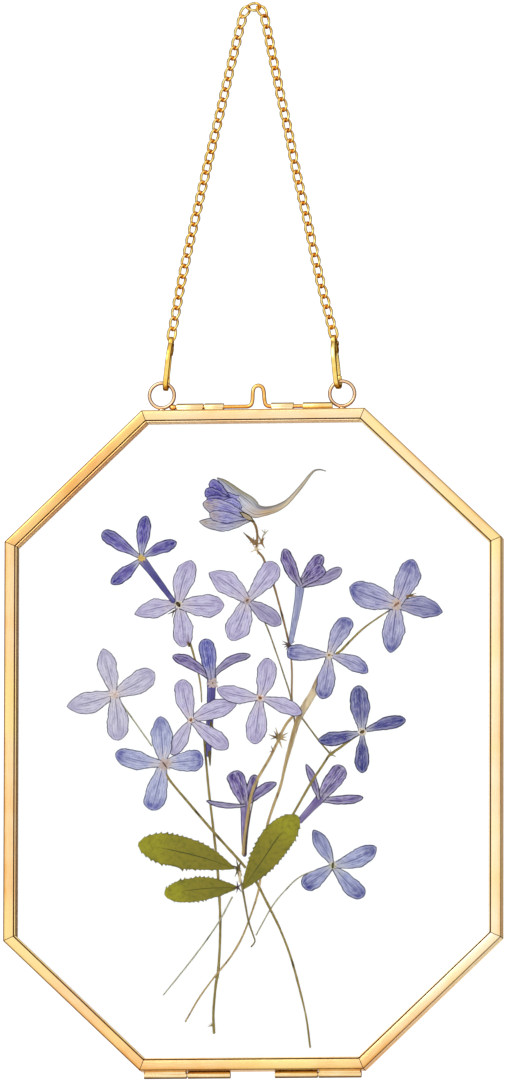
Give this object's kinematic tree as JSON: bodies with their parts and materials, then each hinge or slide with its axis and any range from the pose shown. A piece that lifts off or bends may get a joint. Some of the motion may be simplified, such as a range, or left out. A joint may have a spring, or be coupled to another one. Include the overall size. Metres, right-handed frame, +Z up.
{
  "type": "pressed flower frame",
  "caption": "Eight-sided hinged brass frame with pressed delphinium blossoms, leaves and stalks between two clear panes, hung from a gold curb chain by clasps.",
  "frame": {"origin": "the point under the top of the chain where a nail or hook holds it, in the middle of the frame's width, in the plane where the frame's halves meet", "axes": "+X to the viewer's right, +Y away from the viewer through the glass, +Z up"},
  "size_m": [0.15, 0.01, 0.3246],
  "materials": {
    "frame_brass": "satin brass, a little peach",
    "orange_brass": "bright orange-gold brass wire and tube",
    "pink_brass": "pinkish gold wire",
    "gold_plate": "bright yellow-gold plating",
    "clear_glass": "clear thin sheet glass, polished edges hidden in the bars",
    "lilac_petal": "pressed petal, thin and matt, pale grey lilac with fine veins",
    "periwinkle_petal": "pressed petal, periwinkle blue with darker veins",
    "violet_petal": "pressed petal, violet",
    "deep_blue_petal": "pressed petal, deep blue to indigo",
    "olive_leaf": "pressed leaf, olive green with a dark midrib",
    "tan_stalk": "dried flat stalk, tan to grey brown"
  },
  "bodies": {
    "back_half": {"back_bar_top": "frame_brass", "back_bar_top_right": "frame_brass", "back_bar_right": "frame_brass", "back_bar_bottom_right": "frame_brass", "back_bar_bottom": "frame_brass", "back_bar_bottom_left": "frame_brass", "back_bar_left": "frame_brass", "back_bar_top_left": "frame_brass", "back_pane": "clear_glass", "back_hinge_barrel_left": "frame_brass", "back_hinge_barrel_right": "frame_brass", "hinge_pin_left": "frame_brass", "hinge_pin_right": "frame_brass", "lock_keeper": "orange_brass", "ring_left": "pink_brass", "ring_right": "pink_brass", "clasp_body_left": "gold_plate", "clasp_body_right": "gold_plate", "chain": "gold_plate", "blossom_01_indigo": "deep_blue_petal", "blossom_02_lilac": "lilac_petal", "blossom_03_lilac": "lilac_petal", "blossom_04_violet_side": "violet_petal", "blossom_05_periwinkle": "periwinkle_petal", "blossom_06_periwinkle": "periwinkle_petal", "blossom_07_lilac": "lilac_petal", "blossom_08_blue_side": "periwinkle_petal", "blossom_09_lilac": "lilac_petal", "blossom_10_lilac": "lilac_petal", "blossom_11_periwinkle": "periwinkle_petal", "blossom_12_deep_blue": "deep_blue_petal", "blossom_13_violet_side": "violet_petal", "blossom_14_violet_side": "violet_petal", "blossom_15_blue": "periwinkle_petal", "larkspur_flower": "periwinkle_petal", "leaf_upper_left": "olive_leaf", "leaf_lower_left": "olive_leaf", "leaf_right": "olive_leaf", "stalk_thorny": "tan_stalk", "stalk_grey": "tan_stalk", "stalk_curled": "tan_stalk"},
    "front_half": {"front_bar_top": "frame_brass", "front_bar_top_right": "frame_brass", "front_bar_right": "frame_brass", "front_bar_bottom_right": "frame_brass", "front_bar_bottom": "frame_brass", "front_bar_bottom_left": "frame_brass", "front_bar_left": "frame_brass", "front_bar_top_left": "frame_brass", "front_pane": "clear_glass", "front_hinge_barrel_left": "frame_brass", "front_hinge_barrel_right": "frame_brass", "lock_guide_left": "frame_brass", "lock_guide_middle": "frame_brass", "lock_guide_right": "frame_brass"},
    "lock_pin": {"lock_pin": "orange_brass"},
    "trigger_left": {"clasp_trigger_left": "gold_plate"},
    "trigger_right": {"clasp_trigger_right": "gold_plate"}
  },
  "joints": [
    {"name": "front_half_hinge", "type": "hinge", "parent": "back_half", "child": "front_half", "pos_m": [0, 0, -0.32115], "axis": [1, 0, 0], "range_deg": [0, 180]},
    {"name": "lock_pin_slide", "type": "slide", "parent": "front_half", "child": "lock_pin", "axis": [-1, 0, 0], "range_m": [0, 0.0064]},
    {"name": "trigger_left_hinge", "type": "hinge", "parent": "back_half", "child": "trigger_left", "pos_m": [-0.0257, 0.0033, -0.10195], "axis": [-0.9936, 0, 0.1132], "range_deg": [0, 16], "stiffness_Nm_per_rad": 0.01, "springref_deg": -5.73},
    {"name": "trigger_right_hinge", "type": "hinge", "parent": "back_half", "child": "trigger_right", "pos_m": [0.02419, 0.00329, -0.10191], "axis": [-0.986, 0.1392, -0.0915], "range_deg": [0, 16], "stiffness_Nm_per_rad": 0.01, "springref_deg": -5.73}
  ]
}
